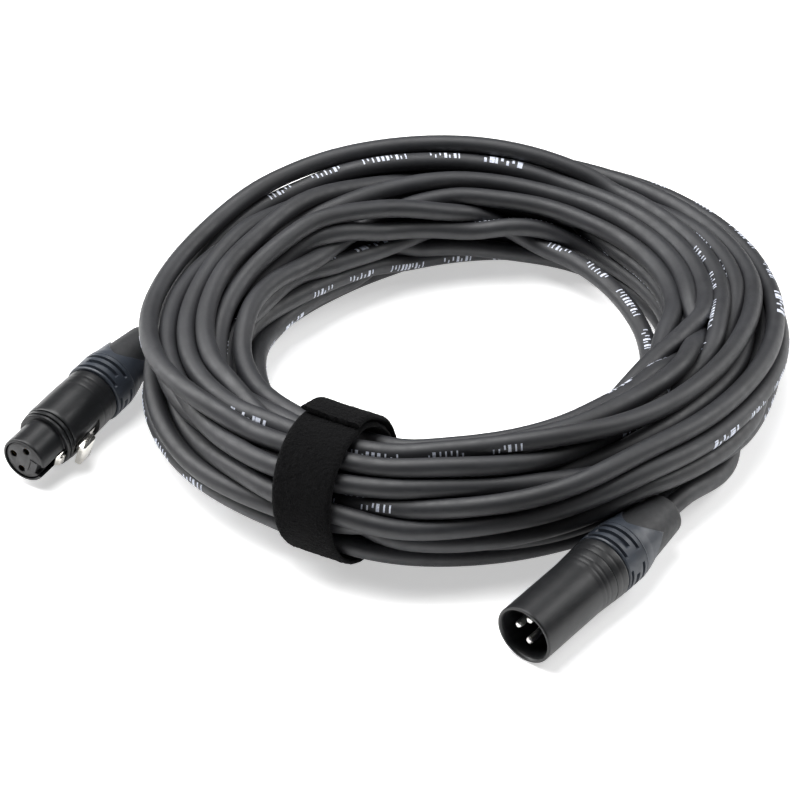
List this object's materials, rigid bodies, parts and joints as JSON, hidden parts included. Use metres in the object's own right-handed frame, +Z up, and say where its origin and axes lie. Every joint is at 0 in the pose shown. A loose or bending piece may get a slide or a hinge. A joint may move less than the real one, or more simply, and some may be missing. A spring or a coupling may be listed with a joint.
{
  "type": "xlr cable coil",
  "caption": "Long microphone cable with a three-pole male and female connector, wound into a round coil held by a hook-and-loop tie.",
  "frame": {"origin": "middle of the outline of everything, on the surface that the coil lies on", "axes": "+Z up; +X to the right and +Y away as the coil lies with both connectors in front, male at the right"},
  "size_m": [0.2602, 0.2515, 0.0455],
  "materials": {
    "jacket": "matte soft PVC",
    "tie_fabric": "brushed hook-and-loop nylon",
    "black_shell": "black satin coated zinc",
    "black_plastic": "moulded",
    "silver_contact": "silver plated",
    "brass_contact": "plain",
    "spring_metal": "nickel plated spring metal",
    "white_plastic": "moulded",
    "grey_plastic": "moulded, blue-grey",
    "boot_rubber": "matt",
    "red_core": "core insulation",
    "white_core": "core insulation",
    "copper": "tinned copper strands",
    "latch_nickel": "satin nickel"
  },
  "bodies": {
    "cable": {"cable_coil": "jacket", "cable_male_end": "jacket", "cable_female_end": "jacket", "tie_strap": "tie_fabric", "male_housing": "black_shell", "female_housing": "black_shell", "male_insert": "black_plastic", "female_insert": "black_plastic", "male_pin_1": "silver_contact", "male_pin_2": "silver_contact", "male_pin_3": "silver_contact", "female_socket_1": "brass_contact", "female_socket_2": "brass_contact", "female_socket_3": "brass_contact", "male_earth_spring": "spring_metal", "female_earth_spring": "spring_metal", "male_hot_core": "red_core", "female_hot_core": "red_core", "male_cold_core": "white_core", "female_cold_core": "white_core", "male_shield_lead": "copper", "female_shield_lead": "copper", "latch_pin": "spring_metal", "latch_spring": "spring_metal"},
    "male_clamp": {"male_chuck": "white_plastic"},
    "male_boot_nut": {"male_bushing": "grey_plastic", "male_boot": "boot_rubber"},
    "female_clamp": {"female_chuck": "white_plastic"},
    "female_boot_nut": {"female_bushing": "grey_plastic", "female_boot": "boot_rubber"},
    "latch": {"latch_lever": "latch_nickel"},
    "tab": {"tie_tab": "tie_fabric"}
  },
  "joints": [
    {"name": "male_clamp_slide", "type": "slide", "parent": "cable", "child": "male_clamp", "axis": [0.639, 0.769, 0.0194], "range_m": [0, 0.00201]},
    {"name": "male_boot_turn", "type": "hinge", "parent": "male_clamp", "child": "male_boot_nut", "pos_m": [0.06235, -0.0845, 0.01067], "axis": [0.639, 0.769, 0.0194], "range_deg": [0, 720]},
    {"name": "female_clamp_slide", "type": "slide", "parent": "cable", "child": "female_clamp", "axis": [0.4868, 0.8733, 0.0186], "range_m": [0, 0.00201]},
    {"name": "female_boot_turn", "type": "hinge", "parent": "female_clamp", "child": "female_boot_nut", "pos_m": [-0.1014, 0.0033, 0.01074], "axis": [0.4868, 0.8733, 0.0186], "range_deg": [0, 720]},
    {"name": "latch_press", "type": "hinge", "parent": "cable", "child": "latch", "pos_m": [-0.10401, -0.01693, 0.00778], "axis": [-0.2758, 0.1739, -0.9454], "range_deg": [0, 6], "stiffness_Nm_per_rad": 0.3, "springref_deg": -5.73, "deforming": ["latch_spring"]},
    {"name": "tab_peel", "type": "hinge", "parent": "cable", "child": "tab", "pos_m": [-0.01237, -0.04348, 0.02727], "axis": [-0.8894, 0.4571, 0], "range_deg": [0, 100]}
  ],
  "couplings": [
    {"joint": "male_clamp_slide", "follows": "male_boot_turn", "m_per_rad": 0.00015915},
    {"joint": "female_clamp_slide", "follows": "female_boot_turn", "m_per_rad": 0.00015915}
  ]
}
